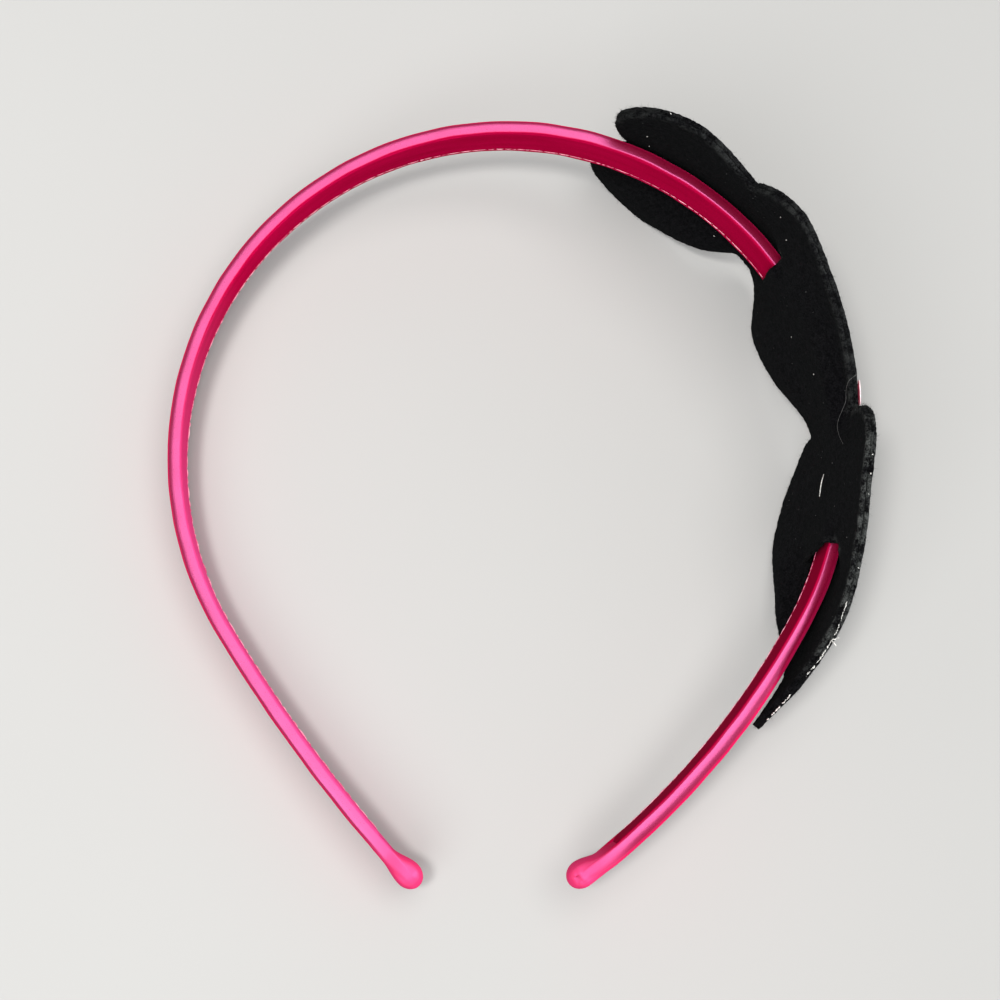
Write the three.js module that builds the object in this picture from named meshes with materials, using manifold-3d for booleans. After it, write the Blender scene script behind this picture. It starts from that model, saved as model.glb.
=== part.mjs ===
// Satin hair band with a black felt slider of three hearts, lying on its edge (millimetres, +Z up).
import * as THREE from 'three';
import { mergeVertices } from 'three/addons/utils/BufferGeometryUtils.js';
import { ConvexHull } from 'three/addons/math/ConvexHull.js';
import { TessellateModifier } from 'three/addons/modifiers/TessellateModifier.js';
import Module from 'manifold-3d';

// Hoop: a round crown with two flatter arms, measured along its inner face from the top of the crown
const crownRadius = 61.75;
const rightCrownSweep = THREE.MathUtils.degToRad(119.4);
const leftCrownSweep = THREE.MathUtils.degToRad(121.5);
const rightArmRadius = 152;
const leftArmRadius = 285;
const rightArmLength = 66;
const leftArmLength = 59.7;
const hoopStep = 5;
const sectionCurveSegments = 3;

// Band: half-inch satin-covered strip, flat inside and crowned outside, its ends swollen inwards
const bandWidth = 12.5;
const bandThickness = 2.4;
const bandEdgeThickness = 1.9;
const bandCornerRadius = 0.9;
const tipLength = 9;
const tipSteps = 8;
const tipSwell = 1.05;
const tipInward = 1;
const tipRounding = 3;
const tipBluntness = 0.35;
const tipNarrowing = 0.2;

// Lining ribbon along the inner face
const ribbonWidth = 11.8;
const ribbonThickness = 0.5;
const ribbonGap = 0.25;
const ribbonEndInset = 10;

// Felt hearts, lobes towards the top of the crown and points towards the right tip; the handles shape
// each half of the outline, as [along, across], from its cleft round the lobe and down to its point
const heartHalfWidth = 27.5;
const heartLength = 57;
const heartCleft = 5;
const heartWidest = 11;
const heartCurveSegments = 9;
const lobeHandles = [[-6, 5], [-6, heartHalfWidth]];
const taperHandles = [[20, 26], [42, 9]];
const feltThickness = 1.2;
const feltGrain = 5.2;
const feltGrainRounds = 14;
const weldDistance = 0.001;
const pieceGap = 0.3;
const layerGap = 0.5;
const pocketGap = 0.7;

// Each heart's start along the hoop, and how much further along its lower lobe lies than its upper one
const hearts = [
  { start: 20, lag: -4 },
  { start: 49.5, lag: 8 },
  { start: 92.8, lag: 3.5 },
];

// Cross slits in the back layer, where the band goes in behind it and comes out again
const slits = [
  { along: 58, towardsPocket: 1 },
  { along: 114.7, towardsPocket: -1 },
];
const slitLength = 20;
const slitWidth = 1;
const slitEndClearance = 0.5;
const slitEase = 7;
const settleLength = 12;

// Lean of the felt: how far its middle lies out from the hoop's inner face at the upper and lower edges,
// how far across it reaches that lean, and how far its tail springs off the band
const leanRows = [
  { along: 16, upper: 3.2, lower: 4.6, reach: 20, spring: 0 },
  { along: 32, upper: 3.2, lower: 0.2, reach: 25, spring: 0 },
  { along: 44, upper: 2.6, lower: 0.4, reach: 19, spring: 0 },
  { along: 54, upper: 3.2, lower: 5.4, reach: 18, spring: 0 },
  { along: 65, upper: 2.2, lower: -0.4, reach: 24, spring: 0 },
  { along: 76, upper: 2.2, lower: -2.6, reach: 17, spring: 0 },
  { along: 89, upper: 2.6, lower: 0, reach: 10.5, spring: 0 },
  { along: 104, upper: 1.2, lower: -3.2, reach: 25, spring: 0 },
  { along: 114, upper: 2.6, lower: -4, reach: 21, spring: 0 },
  { along: 126, upper: 5.2, lower: -1.8, reach: 16, spring: 0.5 },
  { along: 135, upper: 6.4, lower: 2.6, reach: 14, spring: 1.5 },
  { along: 151, upper: 5.4, lower: 4.8, reach: 14, spring: 0.6 },
];

const halfBand = bandWidth / 2;
const bandInset = ribbonThickness + ribbonGap;
const overBand = bandInset + bandThickness + pieceGap + feltThickness / 2;
const underBand = -pocketGap - feltThickness / 2;
const layerStep = feltThickness + layerGap;
const feltHeldAcross = halfBand + slitEndClearance;
const slopeReach = 0.05;

// Weight of a cubic centimetre of each piece, in grams
const bandDensity = 1.1;
const ribbonDensity = 0.7;
const feltDensity = 0.2;

const satin = new THREE.MeshStandardMaterial({ color: 0xe01a62, roughness: 0.32, metalness: 0 });
const liningSatin = new THREE.MeshStandardMaterial({ color: 0xa8043f, roughness: 0.5, metalness: 0 });
const blackFelt = new THREE.MeshStandardMaterial({ color: 0x0e0d11, roughness: 0.95, metalness: 0 });

const wasm = await Module();
wasm.setup();

function smooth(from, to, value) {
  return THREE.MathUtils.smoothstep(value, from, to);
}

// Point of the hoop's inner face, with its outward direction
function hoopAt(along) {
  const side = along < 0 ? -1 : 1;
  const sweep = side > 0 ? rightCrownSweep : leftCrownSweep;
  const armRadius = side > 0 ? rightArmRadius : leftArmRadius;
  const distance = Math.abs(along);
  const past = distance - crownRadius * sweep;
  const angle = past > 0 ? sweep + past / armRadius : distance / crownRadius;
  let x = crownRadius * Math.sin(Math.min(angle, sweep));
  let y = crownRadius * Math.cos(Math.min(angle, sweep));
  if (past > 0) {
    x += armRadius * (Math.sin(angle) - Math.sin(sweep));
    y += armRadius * (Math.cos(angle) - Math.cos(sweep));
  }
  return { x: side * x, y, outX: side * Math.sin(angle), outY: Math.cos(angle) };
}

function hoopPoint(along, outward, across) {
  const hoop = hoopAt(along);
  return new THREE.Vector3(hoop.x + outward * hoop.outX, hoop.y + outward * hoop.outY, across);
}

function movePoints(geometry, place) {
  const position = geometry.attributes.position;
  const point = new THREE.Vector3();
  for (let i = 0; i < position.count; i += 1) {
    point.fromBufferAttribute(position, i);
    const moved = place(point);
    position.setXYZ(i, moved.x, moved.y, moved.z);
  }
  geometry.computeVertexNormals();
  return geometry;
}

function bareGeometry(geometry) {
  const bare = geometry.clone();
  bare.deleteAttribute('normal');
  bare.deleteAttribute('uv');
  bare.clearGroups();
  return mergeVertices(bare);
}

function solidOf(geometry) {
  const bare = bareGeometry(geometry);
  const vertProperties = new Float32Array(bare.attributes.position.array);
  const triVerts = new Uint32Array(bare.index.array);
  return new wasm.Manifold(new wasm.Mesh({ numProp: 3, vertProperties, triVerts }));
}

function geometryOf(solid) {
  const mesh = solid.getMesh();
  const geometry = new THREE.BufferGeometry();
  geometry.setAttribute('position', new THREE.BufferAttribute(new Float32Array(mesh.vertProperties), 3));
  geometry.setIndex(new THREE.BufferAttribute(new Uint32Array(mesh.triVerts), 1));
  return geometry;
}

const rightEnd = crownRadius * rightCrownSweep + rightArmLength;
const leftEnd = -(crownRadius * leftCrownSweep + leftArmLength);

// Places along the hoop between two ends, closer together over the swollen tips
function stationsBetween(from, to, endLength, endSteps) {
  const stations = [];
  const bodySteps = Math.round((to - from - 2 * endLength) / hoopStep);
  for (let i = 0; i < endSteps; i += 1) {
    stations.push(from + endLength * (1 - Math.cos((i / endSteps) * (Math.PI / 2))));
  }
  for (let i = 0; i <= bodySteps; i += 1) {
    stations.push(from + endLength + ((to - from - 2 * endLength) * i) / bodySteps);
  }
  for (let i = endSteps - 1; i >= 0; i -= 1) {
    stations.push(to - endLength * (1 - Math.cos((i / endSteps) * (Math.PI / 2))));
  }
  return stations;
}

// A section drawn as (outward, across), run through the stations
function sweepSection(section, stations, place) {
  const steps = stations.length - 1;
  const straight = new THREE.ExtrudeGeometry(section, {
    depth: steps,
    steps,
    bevelEnabled: false,
    curveSegments: sectionCurveSegments,
  });
  const swept = bareGeometry(straight);
  return movePoints(swept, (point) => place(stations[Math.round(point.z)], point.x, point.y));
}

function bandSection() {
  const section = new THREE.Shape();
  const corner = bandCornerRadius;
  section.moveTo(0, -halfBand + corner);
  section.lineTo(0, halfBand - corner);
  section.quadraticCurveTo(0, halfBand, corner, halfBand);
  section.quadraticCurveTo(bandEdgeThickness, halfBand, bandEdgeThickness, halfBand - corner);
  section.quadraticCurveTo(2 * bandThickness - bandEdgeThickness, 0, bandEdgeThickness, -halfBand + corner);
  section.quadraticCurveTo(bandEdgeThickness, -halfBand, corner, -halfBand);
  section.quadraticCurveTo(0, -halfBand, 0, -halfBand + corner);
  return section;
}

function bandGeometry() {
  const stations = stationsBetween(leftEnd, rightEnd, tipLength, tipSteps);
  const middle = bandThickness / 2;
  return sweepSection(bandSection(), stations, (along, outward, across) => {
    const fromTip = Math.min(along - leftEnd, rightEnd - along);
    const nearTip = 1 - smooth(tipRounding, tipLength, fromTip);
    const unrounded = 1 - Math.min(fromTip / tipRounding, 1);
    const rounding = Math.max(tipBluntness, Math.sqrt(1 - unrounded * unrounded));
    const thickness = (1 + tipSwell * nearTip) * rounding;
    const width = (1 - tipNarrowing * nearTip) * rounding;
    const shifted = bandInset + middle - tipInward * nearTip;
    return hoopPoint(along, shifted + (outward - middle) * thickness, across * width);
  });
}

function ribbonGeometry() {
  const section = new THREE.Shape();
  section.moveTo(0, -ribbonWidth / 2);
  section.lineTo(0, ribbonWidth / 2);
  section.lineTo(ribbonThickness, ribbonWidth / 2);
  section.lineTo(ribbonThickness, -ribbonWidth / 2);
  section.closePath();
  const stations = stationsBetween(leftEnd + ribbonEndInset, rightEnd - ribbonEndInset, 0, 0);
  return sweepSection(section, stations, hoopPoint);
}

// One heart drawn flat as (along, across)
function heartShape({ start, lag }) {
  const [leaveCleft, roundLobe] = lobeHandles;
  const [leaveLobe, reachPoint] = taperHandles;
  const cleft = [heartCleft, 0];
  const widest = [heartWidest, heartHalfWidth];
  const point = [heartLength, 0];
  const shape = new THREE.Shape();
  const curve = (side, ...points) => {
    const placed = points.flatMap(([along, across]) => {
      const y = side * across;
      return [start + along - (lag * y) / (2 * heartHalfWidth), y];
    });
    shape.bezierCurveTo(...placed);
  };
  shape.moveTo(start + heartCleft, 0);
  curve(1, leaveCleft, roundLobe, widest);
  curve(1, leaveLobe, reachPoint, point);
  curve(-1, reachPoint, leaveLobe, widest);
  curve(-1, roundLobe, leaveCleft, cleft);
  return shape;
}

function flatHearts(withSlits) {
  const slab = { depth: feltThickness, bevelEnabled: false, curveSegments: heartCurveSegments };
  let solid = null;
  for (const heart of hearts) {
    const one = solidOf(new THREE.ExtrudeGeometry(heartShape(heart), slab));
    solid = solid === null ? one : solid.add(one);
  }
  if (withSlits) {
    for (const slit of slits) {
      const cut = new THREE.BoxGeometry(slitWidth, slitLength, 3 * feltThickness);
      cut.translate(slit.along, 0, feltThickness / 2);
      solid = solid.subtract(solidOf(cut));
    }
  }
  const finer = new TessellateModifier(feltGrain, feltGrainRounds);
  return mergeVertices(finer.modify(geometryOf(solid).toNonIndexed()), weldDistance);
}

function leanAt(along, column) {
  const last = leanRows.length - 1;
  if (along <= leanRows[0].along) return leanRows[0][column];
  if (along >= leanRows[last].along) return leanRows[last][column];
  const next = leanRows.findIndex((row) => row.along > along);
  const before = leanRows[next - 1];
  const after = leanRows[next];
  return THREE.MathUtils.lerp(before[column], after[column], smooth(before.along, after.along, along));
}

// Share of the way from outside the band to behind it: a step at a slit, an easy slope beyond its ends
function pocketShare(along, across) {
  const beyondSlit = smooth(feltHeldAcross, slitLength / 2 - slitEndClearance, Math.abs(across));
  let share = 1;
  for (const { along: place, towardsPocket } of slits) {
    const past = (along - place) * towardsPocket;
    const step = past > 0 ? 1 : 0;
    share *= THREE.MathUtils.lerp(step, smooth(-slitEase, slitEase, past), beyondSlit);
  }
  return share;
}

// Middle surface of the felt: held by the band near its centre line, leaning freely near its edges
function freeShare(along, across) {
  return smooth(feltHeldAcross, leanAt(along, 'reach'), Math.abs(across));
}

function feltPoint(along, across, pocket) {
  const outside = overBand + leanAt(along, 'spring');
  const held = THREE.MathUtils.lerp(outside, underBand, pocket(along, across));
  const edge = leanAt(along, across > 0 ? 'upper' : 'lower') - layerStep / 2;
  return hoopPoint(along, THREE.MathUtils.lerp(held, edge, freeShare(along, across)), across);
}

// Height of the front layer over the back one: it settles onto the band between the two slits
function frontLift(along, across) {
  const [first, second] = slits;
  const entered = smooth(first.along, first.along + settleLength, along);
  const left = smooth(second.along - settleLength, second.along, along);
  const settled = entered * (1 - left) * (1 - freeShare(along, across));
  return layerStep * (1 - settled);
}

function feltGeometry({ withSlits, pocket, lift }) {
  return movePoints(flatHearts(withSlits), ({ x: along, y: across, z: depth }) => {
    const ahead = feltPoint(along + slopeReach, across, pocket);
    const above = feltPoint(along, across + slopeReach, pocket);
    const alongWay = ahead.sub(feltPoint(along - slopeReach, across, pocket));
    const acrossWay = above.sub(feltPoint(along, across - slopeReach, pocket));
    const inward = alongWay.cross(acrossWay).normalize();
    const inset = depth - feltThickness / 2 - lift(along, across);
    return feltPoint(along, across, pocket).addScaledVector(inward, inset);
  });
}

function namedMesh(name, geometry, material, density) {
  const mesh = new THREE.Mesh(geometry, material);
  mesh.name = name;
  mesh.userData.density = density;
  return mesh;
}

const backLayer = { withSlits: true, pocket: pocketShare, lift: () => 0 };
const frontLayer = { withSlits: false, pocket: () => 0, lift: frontLift };

const lying = new THREE.Group();
lying.add(namedMesh('band', bandGeometry(), satin, bandDensity));
lying.add(namedMesh('inner_ribbon', ribbonGeometry(), liningSatin, ribbonDensity));
lying.add(namedMesh('felt_back', feltGeometry(backLayer), blackFelt, feltDensity));
lying.add(namedMesh('felt_front', feltGeometry(frontLayer), blackFelt, feltDensity));

function cornersOf(mesh) {
  const { index, attributes } = mesh.geometry;
  return Array.from(index.array, (i) => new THREE.Vector3().fromBufferAttribute(attributes.position, i));
}

// Balance point of all the pieces, summed over the wedges between their triangles and the centre
function balancePoint(meshes) {
  const sum = new THREE.Vector3();
  let weight = 0;
  for (const mesh of meshes) {
    const corners = cornersOf(mesh);
    for (let i = 0; i < corners.length; i += 3) {
      const [a, b, c] = corners.slice(i, i + 3);
      const wedge = (mesh.userData.density * a.dot(b.clone().cross(c))) / 6;
      sum.addScaledVector(a.clone().add(b).add(c), wedge / 4);
      weight += wedge;
    }
  }
  return sum.divideScalar(weight);
}

// Lying pose: the flat of the hull that a plumb line from the balance point meets turns straight down
function restingFlat(meshes) {
  const hull = new ConvexHull().setFromPoints(meshes.flatMap(cornersOf));
  const plumb = new THREE.Ray(balancePoint(meshes), new THREE.Vector3(0, 0, -1));
  const drop = (face) => {
    return plumb.distanceToPlane(new THREE.Plane().setFromNormalAndCoplanarPoint(face.normal, face.midpoint));
  };
  const below = hull.faces.filter((face) => face.normal.z < 0);
  return below.reduce((nearest, face) => (drop(face) < drop(nearest) ? face : nearest));
}

lying.quaternion.setFromUnitVectors(restingFlat(lying.children).normal, new THREE.Vector3(0, 0, -1));

const headband = new THREE.Group();
headband.add(lying);
headband.updateMatrixWorld(true);
const box = new THREE.Box3().setFromObject(headband, true);
const centre = box.getCenter(new THREE.Vector3());
headband.position.set(-centre.x, -centre.y, -box.min.z);
headband.updateMatrixWorld(true);

export default headband;
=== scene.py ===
import math

import bpy
import numpy as np
from mathutils import Matrix, Vector
from mathutils.kdtree import KDTree


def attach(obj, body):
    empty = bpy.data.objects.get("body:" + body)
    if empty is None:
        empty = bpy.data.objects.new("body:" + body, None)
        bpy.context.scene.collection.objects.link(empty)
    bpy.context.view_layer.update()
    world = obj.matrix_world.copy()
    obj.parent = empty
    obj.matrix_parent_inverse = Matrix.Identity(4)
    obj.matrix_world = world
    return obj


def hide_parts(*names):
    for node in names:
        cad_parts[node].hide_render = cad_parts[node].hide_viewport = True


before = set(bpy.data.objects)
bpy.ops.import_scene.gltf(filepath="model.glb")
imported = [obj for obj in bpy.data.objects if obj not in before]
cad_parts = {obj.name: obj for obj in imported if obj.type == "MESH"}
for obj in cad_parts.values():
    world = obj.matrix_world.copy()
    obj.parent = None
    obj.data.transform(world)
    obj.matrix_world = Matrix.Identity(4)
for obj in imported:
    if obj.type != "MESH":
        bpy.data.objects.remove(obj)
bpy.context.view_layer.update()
print("frame loaded:", ", ".join(sorted(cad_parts)))

mm = 0.001


# Hoop shape in mm: inner face of the band, measured along it from the top of the crown, + to the right
hoop = {
    "crownRadius": 61.75,
    "rightSweep": math.radians(119.4),
    "leftSweep": math.radians(121.5),
    "rightArmRadius": 152,
    "leftArmRadius": 285,
    "rightArmLength": 66,
    "leftArmLength": 59.7,
}
rightEnd = hoop["crownRadius"] * hoop["rightSweep"] + hoop["rightArmLength"]
leftEnd = -(hoop["crownRadius"] * hoop["leftSweep"] + hoop["leftArmLength"])


def ease(low, high, value):
    share = np.clip((value - low) / (high - low), 0, 1)
    return share * share * (3 - 2 * share)


def mix(a, b, share):
    return a + (b - a) * share


def unit(ways):
    return ways / np.linalg.norm(ways, axis=-1)[..., None]


def hoopPoint(along, outward, across):
    along = np.asarray(along, float)
    right = along >= 0
    sweep = np.where(right, hoop["rightSweep"], hoop["leftSweep"])
    armRadius = np.where(right, hoop["rightArmRadius"], hoop["leftArmRadius"])
    crownAngle = np.minimum(np.abs(along) / hoop["crownRadius"], sweep)
    past = np.maximum(np.abs(along) - hoop["crownRadius"] * sweep, 0)
    angle = crownAngle + past / armRadius
    side = np.where(right, 1, -1)
    x = hoop["crownRadius"] * np.sin(crownAngle) + armRadius * (np.sin(angle) - np.sin(crownAngle))
    y = hoop["crownRadius"] * np.cos(crownAngle) + armRadius * (np.cos(angle) - np.cos(crownAngle))
    x = side * (x + outward * np.sin(angle))
    y = y + outward * np.cos(angle)
    return np.stack(np.broadcast_arrays(x, y, across), -1)


# Lining ribbon sizes in mm, also used to find how the hoop lies
ribbon = {
    "upper": 5.8,    # the upper edge runs beside the ridge, the lower one leaves the satin's lip bare
    "lower": -4.5,
    "thickness": 0.5,
    "endInset": 10,
    "cadStations": 74,
    "step": 0.75,
    "flatPoints": 16,
    "roundPoints": 7,
    "tuckLength": 2.8,   # the ends dip under the satin over this length
    "tuckDepth": 1.0,
    "wander": (0.03, 23, 11),   # size, length and seed of the lower edge's ripples
}
ribbonEnds = leftEnd + ribbon["endInset"], rightEnd - ribbon["endInset"]


def vertexValues(mesh, key):
    values = np.empty(len(mesh.vertices) * 3)
    mesh.vertices.foreach_get(key, values)
    return values.reshape(-1, 3)


# The hoop leans on its felt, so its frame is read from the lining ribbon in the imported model
def readLean():
    packed = vertexValues(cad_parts["inner_ribbon"].data, "co")
    corners = np.unique(np.round(packed, 6), axis=0) / mm
    middle = corners.mean(0)
    acrossWay = np.linalg.svd(corners - middle, full_matrices=False)[2][2]
    acrossWay = acrossWay * np.sign(acrossWay[2])
    turn = np.array(Vector((0, 0, 1)).rotation_difference(Vector(acrossWay)).to_matrix())
    stations = np.linspace(*ribbonEnds, ribbon["cadStations"])
    flatMiddle = hoopPoint(stations, ribbon["thickness"] / 2, 0).mean(0)
    return turn, middle - turn @ flatMiddle


leanTurn, leanShift = readLean()
print("hoop leans by %.2f degrees" % math.degrees(math.acos(leanTurn[2, 2])))


def toRow(points):
    return (np.asarray(points) @ leanTurn.T + leanShift) * mm


# A smooth random field, summed from plane waves of about one length
def ripple(points, size, length, seed, count=14):
    dice = np.random.default_rng(seed)
    ways = unit(dice.normal(size=(count, points.shape[-1])))
    ways *= (2 * math.pi / length) * dice.uniform(0.6, 1.5, (count, 1))
    phases = dice.uniform(0, 2 * math.pi, count)
    return size * (np.sin(points @ ways.T + phases).sum(-1) / math.sqrt(count / 2))


def addObject(name, data):
    thing = bpy.data.objects.new(name, data)
    bpy.context.scene.collection.objects.link(thing)
    return thing


def newMesh(name, points, faces):
    mesh = bpy.data.meshes.new(name)
    mesh.from_pydata(np.asarray(points).tolist(), [], [tuple(f) for f in faces])
    mesh.update()
    return mesh


def addPiece(name, points, faces, material, uv=None):
    mesh = newMesh(name, points, faces)
    if uv is not None:
        layer = mesh.uv_layers.new(name="wrap")
        loopVerts = np.empty(len(mesh.loops), int)
        mesh.loops.foreach_get("vertex_index", loopVerts)
        layer.data.foreach_set("uv", np.asarray(uv)[loopVerts].astype(np.float32).ravel())
    mesh.polygons.foreach_set("use_smooth", [True] * len(mesh.polygons))
    mesh.materials.append(material)
    return addObject(name, mesh)


def settle(piece):
    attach(piece, "root")
    return piece


def gridFaces(rows, columns):
    row = np.arange(rows - 1)[:, None] * columns
    column = np.arange(columns)[None, :]
    after = (column + 1) % columns
    faces = np.stack([row + column, row + after, row + columns + after, row + columns + column], -1)
    return faces.reshape(-1, 4)


# Rings of points joined into a skin with closed ends, its uv in mm along and around
def skinOf(rings, alongMm):
    rows, columns = rings.shape[:2]
    faces = gridFaces(rows, columns).tolist()
    faces.append(list(range(columns))[::-1])
    faces.append(list(range((rows - 1) * columns, rows * columns)))
    gaps = np.linalg.norm(np.diff(rings, axis=1, append=rings[:, :1]), axis=2)
    around = np.cumsum(gaps, axis=1) - gaps
    uv = np.stack([np.broadcast_to(alongMm[:, None], around.shape), around], -1)
    return rings.reshape(-1, 3), faces, uv.reshape(-1, 2)


# Thin strands as one mesh; paths is strands x points x 3 in mm, radii is strands x points
def strandSkin(paths, radii, sides=3):
    count, steps = paths.shape[:2]
    way = np.gradient(paths, axis=1)
    way /= np.linalg.norm(way, axis=2)[..., None] + 1e-9
    helper = np.where(np.abs(way[..., 2:3]) < 0.8, [0, 0, 1], [1, 0, 0])
    sideWay = np.cross(way, helper)
    sideWay /= np.linalg.norm(sideWay, axis=2)[..., None] + 1e-9
    upWay = np.cross(sideWay, way)
    angle = np.arange(sides) * 2 * math.pi / sides
    ring = np.cos(angle)[:, None] * sideWay[:, :, None] + np.sin(angle)[:, None] * upWay[:, :, None]
    points = paths[:, :, None] + ring * radii[..., None, None]
    first = (np.arange(count) * steps * sides)[:, None]
    walls = (gridFaces(steps, sides)[None] + first[:, :, None]).reshape(-1, 4)
    startCaps = first + np.arange(sides)[::-1]
    endCaps = first + (steps - 1) * sides + np.arange(sides)
    return points.reshape(-1, 3), walls.tolist() + startCaps.tolist() + endCaps.tolist()


# Thickness along a strand with blunt ends, full in its middle
def blunted(share, blunt):
    return np.sqrt(np.sin(blunt + share * (math.pi - 2 * blunt)))


# A smooth path through a few given points
def throughPoints(points, steps):
    points = np.asarray(points, float)
    padded = np.concatenate([[2 * points[0] - points[1]], points, [2 * points[-1] - points[-2]]])
    place = np.linspace(0, len(points) - 1, steps)
    span = np.minimum(place.astype(int), len(points) - 2)
    t = (place - span)[:, None]
    a, b, c, d = (padded[span + i] for i in range(4))
    bend = (2 * a - 5 * b + 4 * c - d) * t ** 2
    return 0.5 * (2 * b + (c - a) * t + bend + (3 * b - a - 3 * c + d) * t ** 3)


# Sets an input to a plain value, or links it from another node's output
def feed(node, key, value):
    if isinstance(value, bpy.types.NodeSocket):
        node.id_data.links.new(value, node.inputs[key])
    else:
        node.inputs[key].default_value = value


def addNode(tree, kind, inputs=None, **settings):
    node = tree.nodes.new(kind)
    for key, value in settings.items():
        setattr(node, key, value)
    for key, value in (inputs or {}).items():
        feed(node, key, value)
    return node


def newFinish(name, shader):
    finish = bpy.data.materials.new(name)
    finish.use_nodes = True
    tree = finish.node_tree
    bsdf = tree.nodes["Principled BSDF"]
    for key, value in shader.items():
        feed(bsdf, key, value)
    return finish, tree, bsdf


# Colour steps driven by a value, such as a noise
def colourSteps(value, steps):
    ramp = addNode(value.id_data, "ShaderNodeValToRGB", {"Fac": value})
    elements = ramp.color_ramp.elements
    while len(elements) < len(steps):
        elements.new(0.5)
    for element, (place, colour) in zip(elements, steps):
        element.position = place
        element.color = (*colour, 1)
    return ramp.outputs["Color"]


def noiseOf(coords, stretch, detail=3, roughness=0.55):
    tree = coords.id_data
    place = addNode(tree, "ShaderNodeMapping", {"Vector": coords, "Scale": stretch}).outputs["Vector"]
    inputs = {"Vector": place, "Scale": 1, "Detail": detail, "Roughness": roughness}
    return addNode(tree, "ShaderNodeTexNoise", inputs).outputs["Fac"]


# Noise in object space, alike in every direction
def evenNoise(tree, scale, detail=3, roughness=0.55):
    coords = addNode(tree, "ShaderNodeTexCoord").outputs["Object"]
    return noiseOf(coords, (scale, scale, scale), detail, roughness)


def sumOf(first, firstShare, second, secondShare):
    tree = first.id_data
    scaled = addNode(tree, "ShaderNodeMath", {0: first, 1: firstShare}, operation="MULTIPLY").outputs[0]
    inputs = {0: second, 1: secondShare, 2: scaled}
    return addNode(tree, "ShaderNodeMath", inputs, operation="MULTIPLY_ADD").outputs[0]


def productOf(first, second):
    return addNode(first.id_data, "ShaderNodeMath", {0: first, 1: second}, operation="MULTIPLY").outputs[0]


def bumpFrom(bsdf, height, strength, depth):
    inputs = {"Height": height, "Strength": strength, "Distance": depth}
    feed(bsdf, "Normal", addNode(bsdf.id_data, "ShaderNodeBump", inputs).outputs["Normal"])


def spread(value, low, high, fromLow=0, fromHigh=1):
    inputs = {"Value": value, "From Min": fromLow, "From Max": fromHigh, "To Min": low, "To Max": high}
    return addNode(value.id_data, "ShaderNodeMapRange", inputs).outputs["Result"]


def mixColour(share, first, second):
    inputs = {"Factor": share, "A": first, "B": (*second, 1)}
    return addNode(share.id_data, "ShaderNodeMix", inputs, data_type="RGBA").outputs["Result"]


def attributeOf(tree, name):
    return addNode(tree, "ShaderNodeAttribute", attribute_name=name).outputs["Fac"]


# Satin cover of the band, in mm: a rolled outer edge, a ridge above the ribbon's seat and a lip below it
satin = {
    "width": 12.5,
    "outerFace": 2.78,
    "rightOuterFace": 3.05,
    "seat": 0.62,
    "seatWalls": (0.07, 0.03),   # how far the seat's upper and lower walls lean
    "ridgeFrom": 0.11,
    "ridge": 0.3,        # the ridge is crisp, and rounder from the first heart on
    "rightRidge": 0.5,
    "ridgeBlend": (8, 30),
    "rightBlend": (95, 125),
    "lip": 0.45,
    "lipGap": 0.1,       # between the lip and the ribbon
    "roll": 7,           # how square the edges are: flat topped, but rounder on the right arm
    "rightRoll": 3.8,
    "pulled": {"from": (13, 34), "to": (112, 148), "slope": 0.2},   # the felt draws the top edge down
    "seatPoints": 9,
    "ridgePoints": 8,
    "rollPoints": 22,
    "lipPoints": 4,
    "step": 0.9,
    "seatFill": (9.5, 12.5),   # the seat fills up over this stretch from each tip
    "tipLength": 9,
    "tipSteps": 36,
    "tipRounding": 3,
    "tipRoll": 2.8,
    "tipMiddle": 1.05,
    "tipHalfThick": 2.58,
    "tipHalfWidth": 5,
    "tipEnd": 0.03,
    "gathers": 9,
    "gatherDepth": 0.018,
    "gatherFade": (0.5, 4),
    "gatheredSheenTo": (2, 16),
    "slack": (0.02, 9, 3),   # size, length and seed of its ripples
    "armSwell": {"along": (130, 152), "outFrom": 0.6, "extra": 0.4},   # the right arm is padded more
    "dimple": {
        "fromTip": 1.9,
        "outward": 0.9,
        "size": 0.45,
        "depth": 1.2,
        "pucker": 0.1,
        "puckerFrom": 0.8,
        "folds": 7,
        "reach": 1.8,
    },
    "innerOut": (0.52, 0.2),    # where the inner and outer faces' marks fade in
    "innerFromTip": (6.5, 10.5),
    "faceOut": (1.4, 2.3),
    "faceAcross": (5.3, 4.2),
    "floats": (1.1, 9.0, 1),    # weave noises, stretched along and around
    "grains": (3.4, 4.6, 1),
    "clouds": (0.06, 0.35, 1),
    "deepPink": (0.15, 0.001, 0.015),
    "brightPink": (0.25, 0.003, 0.03),
    "turnedSheenPink": (0.6, 0.008, 0.085),   # painted sheen: pinker where the surface turns away from the view
    "turnedSheenFrom": (0.25, 0.7),
    "marks": {
        "outerFace": (0.6, 0.007, 0.085),   # shines less
        "gatheredSheen": (0.66, 0.035, 0.14),    # rougher where the cover is gathered, and paler there as a painted sheen
        "inner": (0.46, 0.0015, 0.046),
        "leftInnerPaintedLight": (0.66, 0.055, 0.21),   # painted light: paler pink inside the left arm, as if lit from the right
        # painted shade darkens the dimple's pit
        "pitAndPaintedShade": (0.15, 0.0006, 0.012),
    },
    "leftBlend": (-62, -122),
    "glossFade": (0.1, 0.48),   # it shines most where it is seen straight on
    "faceGloss": 0.12,
    "roughness": (0.26, 0.38),
    "tipRoughness": 0.32,
    "bump": (0.2, 0.0001),
    "shader": {
        "IOR": 2.2,
        "Specular IOR Level": 0.5,
        "Specular Tint": (1, 0.21, 0.55, 1),
        "Sheen Weight": 0.05,
        "Sheen Roughness": 0.3,
        "Sheen Tint": (1, 0.3, 0.6, 1),
    },
}


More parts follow.
